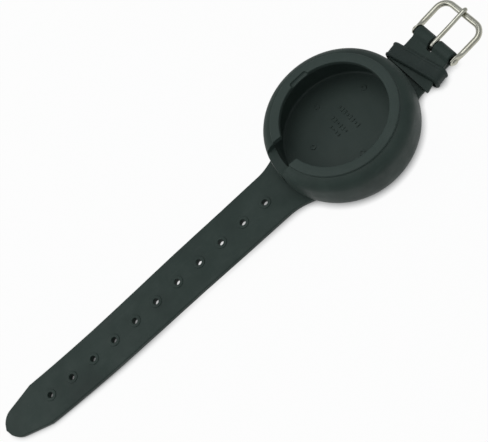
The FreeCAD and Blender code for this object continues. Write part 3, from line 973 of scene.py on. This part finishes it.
@dataclass
class KeeperLoop:
    """The rubber loop round the folded strap, with a bead along each edge."""

    middle_x: float = 44.8
    middle_y: float = -0.3
    middle_z: float = 4.35
    turn: float = 10.5
    inner_half: float = 14.3
    inner_up: float = 2.65
    corner: float = 1.6
    beaded_half: tuple = ((1.9, 0.98), (2.2, 1.02), (2.5, 1.30), (2.9, 1.42), (3.35, 1.32), (3.75, 0.95),
                          (4.0, 0.45))
    inner_face: tuple = ((3.85, 0.06), (2.0, 0.0), (0.0, 0.0), (-2.0, 0.0), (-3.85, 0.06))

    def section(self) -> list[Spot]:
        """Along-strap place and height above the inner face, round the band's closed section."""
        left = [(-along, up) for along, up in reversed(self.beaded_half)]
        return left + [(0.0, 1.0)] + list(self.beaded_half) + list(self.inner_face)

    def path(self) -> list[tuple[Vector, Vector]]:
        """Inner face points round the strap with the outward direction at each, across and up."""
        spots = []
        across, up, r = self.inner_half - self.corner, self.inner_up - self.corner, self.corner
        corners = [Vector((sx * across, sy * up)) for sx, sy in ((1, -1), (1, 1), (-1, 1), (-1, -1))]
        for quarter, centre in enumerate(corners):
            for step in range(7):
                angle = (quarter - 1 + step / 6) * QUARTER_TURN
                out = Vector((math.cos(angle), math.sin(angle)))
                spots.append((centre + out * r, out))
            here, there = spots[-1][0], corners[(quarter + 1) % 4] + out * r
            count = 10 if quarter % 2 else 3
            spots += [(here.lerp(there, step / count), out) for step in range(1, count)]
        return spots

    def build(self) -> Piece:
        """Make the loop: its section is extruded from place to place round the strap and closed."""
        section, path = self.section(), self.path()
        deselect_all()
        bpy.ops.mesh.primitive_circle_add(vertices=len(section), radius=0.004, fill_type="NOTHING")
        loop = name_new("keeper_loop")
        settle(loop)
        turn = Matrix.Rotation(math.radians(self.turn), 3, "Z")
        middle = Vector((self.middle_x, self.middle_y, self.middle_z))

        def place(station: tuple[Vector, Vector], spot: Spot) -> Vector:
            """Carry a spot of the section to a station of the path."""
            point, out = station
            swell = 1.0 + 0.04 * math.sin(point.x * 0.4)
            flat = point + out * spot[1] * swell
            return (turn @ Vector((spot[0], flat.x, flat.y)) + middle) * MM

        for vertex, spot in zip(loop.data.vertices, section):
            vertex.co = place(path[0], spot)
        set_mode("EDIT")
        bpy.ops.mesh.select_mode(type="EDGE")
        bpy.ops.mesh.select_all(action="SELECT")
        for station in path[1:]:
            bpy.ops.mesh.extrude_edges_move()
            place_ring(loop, [place(station, spot) for spot in section])
        choose_edges(loop, lambda edge: edge.is_boundary)
        bpy.ops.mesh.bridge_edge_loops()
        set_mode("OBJECT")
        clean(loop)
        smooth(loop, 40.0)
        return loop

    def dress(self, loop: Piece, rubber: Material) -> None:
        """Give the loop its rubber and its body."""
        dress(loop, rubber)
        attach(loop, "keeper_body")
        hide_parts("keeper")


def sweep(name: str, rings: Sequence[Sequence[Vector]]) -> Piece:
    """Extrude a closed section from ring to ring and close both ends.

    Args:
        name: the new object's name.
        rings: the section's points at each station, in metres, all the same count.

    Returns:
        The new object.
    """
    deselect_all()
    bpy.ops.mesh.primitive_circle_add(vertices=len(rings[0]), radius=0.002, fill_type="NGON")
    rod = name_new(name)
    settle(rod)
    for vertex, spot in zip(rod.data.vertices, rings[0]):
        vertex.co = spot
    set_mode("EDIT")
    bpy.ops.mesh.select_mode(type="FACE")
    bpy.ops.mesh.select_all(action="SELECT")
    for ring in rings[1:]:
        bpy.ops.mesh.extrude_region_move()
        place_ring(rod, ring)
    close_open_edges(rod)
    set_mode("OBJECT")
    clean(rod, 0.000004)
    smooth(rod, 38.0)
    return rod


@dataclass
class WireBuckle:
    """The buckle: bent wire frame with hammered eyes, riveted bar and curled prong."""

    wire: float = 1.45
    far_swell: float = 1.03
    half: float = 13.35
    reach: float = 18.8
    corner: float = 5.6
    corner_steps: int = 9
    leg_stations: tuple = (-2.52, -2.3, -1.8, -1.0, 0.0, 1.0, 1.8, 2.4, 3.1, 4.0, 5.2, 7.0, 9.0, 11.0)
    eye: float = 2.6
    eye_flat: float = 0.95
    eye_inside: float = 12.1
    eye_end: float = 5.2
    eye_run: float = 4.2
    bar_radius: float = 1.1
    head: tuple = ((0.62, 0.5), (0.55, 1.0), (0.35, 1.42), (0.02, 1.6))
    prong: float = 1.1
    prong_sides: int = 16
    prong_shank: tuple = ((1.6, 0.0), (4.0, 0.0), (8.0, 0.0), (12.0, 0.08))
    curl_degrees: float = 270.0
    tip_degrees: tuple = (102.0, 64.0)
    rest_gap: float = 0.15
    tilt: float = 8.0
    sides: int = 24

    def ring(self, middle: Vector, across: Vector, up: Vector, wide: float, high: float,
             sides: int | None = None) -> list[Vector]:
        """An oval ring about a place in the buckle's own plane.

        Args:
            middle: the ring's middle in mm, x along the legs and z up from the plane.
            across, up: directions of its width and height.
            wide, high: half its width and height.
            sides: how many points it has.

        Returns:
            The points in the frame, in metres.
        """
        turn = Matrix.Rotation(math.radians(-self.tilt), 3, "Y")
        count = sides or self.sides
        angles = [FULL_TURN * step / count for step in range(count)]
        spots = [middle + across * (wide * math.cos(a)) + up * (high * math.sin(a)) for a in angles]
        return [buckle_hinge() + turn @ spot * MM for spot in spots]

    def leg_station(self, x: float) -> tuple[Vector, Vector, float, float]:
        """The wire's section on one leg, which flattens towards the eye.

        Args:
            x: distance from the bar along the leg, in mm.

        Returns:
            The section's middle, its direction across, half its width and half its height.
        """
        share = min(max((self.eye_end - x) / self.eye_run, 0.0), 1.0)
        flat = share * share * (3 - 2 * share)
        rounded = math.sqrt(max(self.eye ** 2 - x * x, 0.04)) if x < 0 else self.eye
        high = self.wire + (rounded - self.wire) * flat if x > 0 else rounded
        wide = self.wire + (self.eye_flat - self.wire) * flat
        wide *= 0.8 if x < -2.0 else 1.0
        y = -self.half + (self.half - self.eye_inside - self.eye_flat) * flat
        return Vector((x, y, 0)), Y_WAY, wide, high

    def frame_wire(self) -> Piece:
        """The frame: the wire's section carried round the legs, with an eye at each end."""
        near = [self.leg_station(x) for x in self.leg_stations]
        centre = Vector((self.reach - self.corner, -self.half + self.corner, 0))
        for step in range(self.corner_steps + 1):
            angle = (step / self.corner_steps - 1) * QUARTER_TURN
            out = Vector((math.cos(angle), math.sin(angle), 0))
            near.append((centre + out * self.corner, -out, self.wire, self.wire))
        thick = self.wire * self.far_swell
        near += [(Vector((self.reach, y, 0)), -X_WAY, thick, self.wire) for y in (-5.0, -2.0)]
        far = [(Vector((middle.x, -middle.y, 0)), Vector((across.x, -across.y, 0)), wide, high)
               for middle, across, wide, high in reversed(near)]
        stations = near + [(Vector((self.reach, 0, 0)), -X_WAY, thick, self.wire)] + far
        return sweep("buckle_wire", [self.ring(middle, across, Z_WAY, wide, high)
                                     for middle, across, wide, high in stations])

    def bar(self) -> Piece:
        """The bar across the eyes, spread into a low riveted head at each end."""
        outer = self.eye_inside + 2 * self.eye_flat
        half_bar = [(outer + past, radius) for past, radius in self.head]
        half_bar += [(y, self.bar_radius) for y in (outer, self.eye_inside, 6.0, 0.0)]
        spots = [(-y, r) for y, r in half_bar] + [(y, r) for y, r in reversed(half_bar[:-1])]
        return sweep("buckle_pin", [self.ring(Y_WAY * y, X_WAY, Z_WAY, r, r) for y, r in spots])

    def prong_line(self) -> list[Spot]:
        """The prong's middle line, along and up: round the bar, straight, then over the far bar."""
        inner = self.bar_radius + 0.05 + self.prong
        over = self.wire + self.rest_gap + self.prong
        curl = [math.radians(-self.curl_degrees * step / 16) for step in range(17)]
        start, swept = self.tip_degrees
        tip = [math.radians(start - swept * step / 8) for step in range(9)]
        line = [(inner * math.cos(angle), inner * math.sin(angle)) for angle in curl]
        line += [(x, inner + rise) for x, rise in self.prong_shank]
        return line + [(self.reach + over * math.cos(angle), over * math.sin(angle)) for angle in tip]

    def prong_wire(self) -> Piece:
        """The prong: an open loop round the bar, a straight shank and a curled tip over the far bar."""
        line = self.prong_line()
        rings = []
        for index, (x, z) in enumerate(line):
            before, after = line[max(index - 1, 0)], line[min(index + 1, len(line) - 1)]
            way = Vector((after[0] - before[0], 0, after[1] - before[1])).normalized()
            share = index / (len(line) - 1)
            radius = self.prong * (1.0 if share < 0.96 else 0.86 if share < 1.0 else 0.5)
            radius *= 0.55 if index == 0 else 1.0
            rings.append(self.ring(Vector((x, 0, z)), Y_WAY, Vector((-way.z, 0, way.x)), radius, radius,
                                   self.prong_sides))
        return sweep("buckle_tongue", rings)

    def build(self) -> dict[str, Piece]:
        """Make the three metal pieces, by the node that each one replaces."""
        return {"buckle_frame": self.frame_wire(), "buckle_bar": self.bar(),
                "buckle_prong": self.prong_wire()}

    def dress(self, made: dict[str, Piece]) -> None:
        """Give each piece its body, and nickel whose drawn lines follow its own wire."""
        ways = {"buckle_frame": (1.0, 1.0, 1.0), "buckle_bar": (1.0, 0.15, 1.0),
                "buckle_prong": (0.15, 1.0, 1.0)}
        for node, piece in made.items():
            dress(piece, NickelWire(name=f"nickel_{node}", along=ways[node]).build())
            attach(piece, "prong_body" if node == "buckle_prong" else "buckle_body")
            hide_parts(node)


@dataclass
class Studio:
    """Pale floor, soft light and the camera."""

    camera_at: Point = (-31.24, -210.88, 374.67)
    axes: tuple = ((0.733272, 0.675651, 0.076217), (-0.560608, 0.664203, -0.494523),
                   (-0.384749, 0.319892, 0.865816))
    focal: float = 66.39
    lamps: tuple = (("key", (0.05, 0.10, 0.99), 0.7, 2.1), ("front", (-0.20, -0.50, 0.85), 0.9, 0.25),
                    ("left", (-0.70, 0.35, 0.62), 0.7, 1.9))

    def floor(self) -> None:
        """A wide sheet of paper just under the strap."""
        deselect_all()
        bpy.ops.mesh.primitive_grid_add(x_subdivisions=8, y_subdivisions=8, size=6.0,
                                        location=(0, 0, CAD_BOX[0][2] - 0.0004))
        paper = name_new("paper_floor")
        settle(paper)
        dress(paper, WhitePaper().build())

    def light(self) -> None:
        """Three soft area lamps aimed at the cup, and a pale surround."""
        for name, place, size, watts in self.lamps:
            deselect_all()
            bpy.ops.object.light_add(type="AREA", location=place)
            lamp = bpy.context.object
            lamp.name = f"lamp_{name}"
            lamp.data.shape = "DISK"
            lamp.data.size = size
            lamp.data.energy = watts
            lamp.rotation_euler = (-Vector(place)).to_track_quat("-Z", "Y").to_euler()
        world = bpy.data.worlds.new("surround")
        bpy.context.scene.world = world
        world.use_nodes = True
        tree = world.node_tree
        ground = tree.nodes["Background"]
        ground.inputs["Color"].default_value = (0.93, 0.96, 1.0, 1.0)
        ground.inputs["Strength"].default_value = 0.52
        seen = tree.nodes.new("ShaderNodeBackground")
        seen.inputs["Color"].default_value = (1.0, 1.0, 1.0, 1.0)
        rays = tree.nodes.new("ShaderNodeLightPath")
        mix = tree.nodes.new("ShaderNodeMixShader")
        sources = (rays.outputs["Is Camera Ray"], ground.outputs[0], seen.outputs[0])
        for index, source in enumerate(sources):
            tree.links.new(source, mix.inputs[index])
        tree.links.new(mix.outputs[0], tree.nodes["World Output"].inputs["Surface"])

    def camera(self) -> None:
        """The camera above and in front of the strap."""
        data = bpy.data.cameras.new("camera")
        data.lens = self.focal
        data.sensor_width = 36.0
        data.clip_start, data.clip_end = 0.01, 20.0
        camera = bpy.data.objects.new("camera", data)
        bpy.context.scene.collection.objects.link(camera)
        turn = Matrix(self.axes).to_4x4()
        camera.matrix_world = Matrix.Translation(Vector(self.camera_at) * MM) @ turn
        bpy.context.scene.camera = camera
        bpy.context.scene.view_settings.view_transform = "Standard"

    def build(self) -> None:
        """Set up the whole studio."""
        self.floor()
        self.light()
        self.camera()


def main() -> None:
    """Build every piece in order."""
    logging.basicConfig(level=logging.INFO, format="%(message)s")
    rubber = MouldedRubber().build()
    # The cup's rubber has painted light inside the cup.
    cup_rubber_painted_light = MouldedRubber(name="cup_rubber_painted_light", painted_light_tone=(0.037, 0.054, 0.047)).build()
    keeper_rubber = MouldedRubber(name="keeper_rubber", usual=(0.018, 0.029, 0.025),
                                  rubbed=(0.026, 0.040, 0.034), roughness=0.6).build()
    Studio().build()
    for maker, *finish in ((InstrumentCup(), cup_rubber_painted_light), (LongStrap(), rubber), (ShortStrap(), rubber),
                           (KeeperLoop(), keeper_rubber), (WireBuckle(),)):
        LOG.info("building: %s", type(maker).__name__)
        maker.dress(maker.build(), *finish)
    bpy.context.view_layer.update()


if __name__ == "__main__":
    main()
